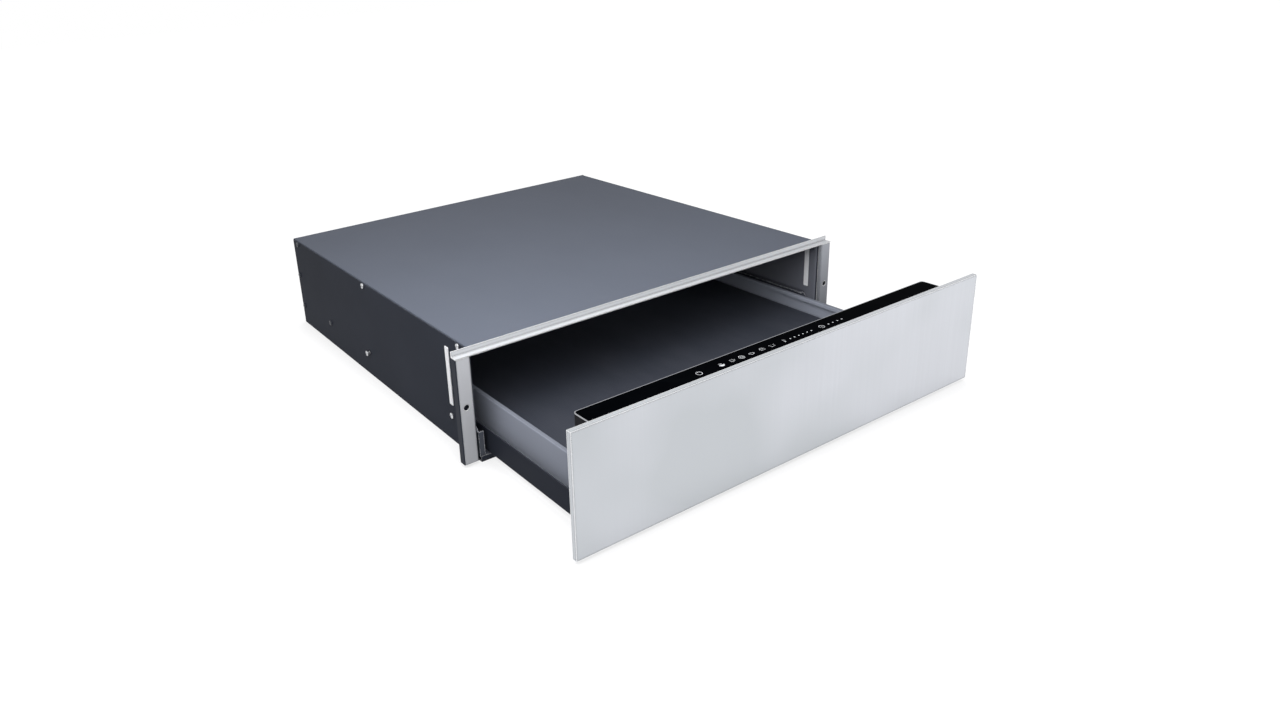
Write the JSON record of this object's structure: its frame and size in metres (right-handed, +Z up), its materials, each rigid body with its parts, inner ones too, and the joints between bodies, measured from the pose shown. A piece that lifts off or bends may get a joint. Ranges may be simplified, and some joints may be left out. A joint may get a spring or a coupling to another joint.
{
  "type": "built in warming drawer",
  "caption": "Built in warming drawer with folded sheet casing and front frame, heated pull out drawer on telescopic runners, brushed front panel and black glass touch control strip",
  "frame": {"origin": "Middle of the casing's flat underside", "axes": "+Z up, -Y towards the user and the way the drawer opens, X across the front"},
  "size_m": [0.597, 0.766, 0.14],
  "materials": {
    "anthracite": "matte powder coat",
    "frame_metal": "satin brushed",
    "dark_metal": "matte powder coat",
    "white_plastic": "matte",
    "zinc": "zinc plated",
    "bracket_metal": "satin",
    "rail_metal": "zinc plated",
    "black_plastic": "matte",
    "cage_metal": "satin",
    "ball_steel": "polished",
    "tray_grey": "satin",
    "floor_metal": "matte",
    "mat_rubber": "matte with fine texture",
    "wool": "fibrous",
    "bright_metal": "bright",
    "heater_steel": "annealed",
    "motor_metal": "cast",
    "housing_plastic": "satin",
    "board": "solder masked",
    "control_glass": "black, back printed",
    "trim_metal": "polished edge",
    "front_steel": "vertical brushing"
  },
  "bodies": {
    "casing": {"top_cover": "anthracite", "base_plate": "anthracite", "rear_panel": "anthracite", "left_side_panel": "anthracite", "right_side_panel": "anthracite", "left_stile": "frame_metal", "right_stile": "frame_metal", "top_rail": "frame_metal", "bottom_rail": "dark_metal", "left_slot_strip": "white_plastic", "right_slot_strip": "white_plastic", "casing_screws": "zinc", "shoulder_studs": "zinc", "left_runner_bracket": "bracket_metal", "right_runner_bracket": "bracket_metal", "left_fixed_rail": "rail_metal", "right_fixed_rail": "rail_metal", "latch_body": "black_plastic", "terminal_box": "black_plastic", "cable_gland": "black_plastic"},
    "latch_plunger": {"latch_plunger": "white_plastic"},
    "left_middle": {"left_middle_rail": "rail_metal"},
    "left_outer_cage": {"left_outer_cage": "cage_metal", "left_outer_balls": "ball_steel"},
    "left_inner_cage": {"left_inner_cage": "cage_metal", "left_inner_balls": "ball_steel"},
    "right_middle": {"right_middle_rail": "rail_metal"},
    "right_outer_cage": {"right_outer_cage": "cage_metal", "right_outer_balls": "ball_steel"},
    "right_inner_cage": {"right_inner_cage": "cage_metal", "right_inner_balls": "ball_steel"},
    "drawer": {"left_drawer_rail": "rail_metal", "right_drawer_rail": "rail_metal", "carrier_pan": "dark_metal", "front_wall": "dark_metal", "left_skirt": "dark_metal", "right_skirt": "dark_metal", "left_side_wall": "tray_grey", "right_side_wall": "tray_grey", "rear_wall": "tray_grey", "floor_plate": "floor_metal", "anti_slip_mat": "mat_rubber", "insulation_slab": "wool", "reflector_plate": "bright_metal", "heating_element": "heater_steel", "heater_clips": "zinc", "safety_thermostat": "black_plastic", "temperature_probe": "heater_steel", "fan_housing": "black_plastic", "fan_motor": "motor_metal", "control_housing": "housing_plastic", "control_board": "board", "control_glass": "control_glass", "glass_trim": "trim_metal", "front_panel": "front_steel", "panel_backing": "dark_metal", "drawer_screws": "zinc", "latch_striker": "zinc"},
    "fan_impeller": {"fan_impeller": "white_plastic"}
  },
  "joints": [
    {"name": "drawer_slide", "type": "slide", "parent": "casing", "child": "drawer", "axis": [0, -1, 0], "range_m": [-0.2075, 0.1925]},
    {"name": "left_middle_slide", "type": "slide", "parent": "casing", "child": "left_middle", "axis": [0, -1, 0], "range_m": [-0.10375, 0.09625]},
    {"name": "left_outer_cage_slide", "type": "slide", "parent": "casing", "child": "left_outer_cage", "axis": [0, -1, 0], "range_m": [-0.05187, 0.04813]},
    {"name": "left_inner_cage_slide", "type": "slide", "parent": "casing", "child": "left_inner_cage", "axis": [0, -1, 0], "range_m": [-0.15563, 0.14438]},
    {"name": "right_middle_slide", "type": "slide", "parent": "casing", "child": "right_middle", "axis": [0, -1, 0], "range_m": [-0.10375, 0.09625]},
    {"name": "right_outer_cage_slide", "type": "slide", "parent": "casing", "child": "right_outer_cage", "axis": [0, -1, 0], "range_m": [-0.05187, 0.04813]},
    {"name": "right_inner_cage_slide", "type": "slide", "parent": "casing", "child": "right_inner_cage", "axis": [0, -1, 0], "range_m": [-0.15563, 0.14438]},
    {"name": "latch_plunger_push", "type": "slide", "parent": "casing", "child": "latch_plunger", "axis": [0, 1, 0], "range_m": [0, 0.005], "stiffness_N_per_m": 300, "springref_m": -0.006},
    {"name": "fan_spin", "type": "hinge", "parent": "drawer", "child": "fan_impeller", "pos_m": [0, -0.035, 0.066], "axis": [0, 1, 0], "continuous": true}
  ],
  "couplings": [
    {"joint": "left_middle_slide", "follows": "drawer_slide", "ratio": 0.5},
    {"joint": "left_outer_cage_slide", "follows": "drawer_slide", "ratio": 0.25},
    {"joint": "left_inner_cage_slide", "follows": "drawer_slide", "ratio": 0.75},
    {"joint": "right_middle_slide", "follows": "drawer_slide", "ratio": 0.5},
    {"joint": "right_outer_cage_slide", "follows": "drawer_slide", "ratio": 0.25},
    {"joint": "right_inner_cage_slide", "follows": "drawer_slide", "ratio": 0.75}
  ]
}
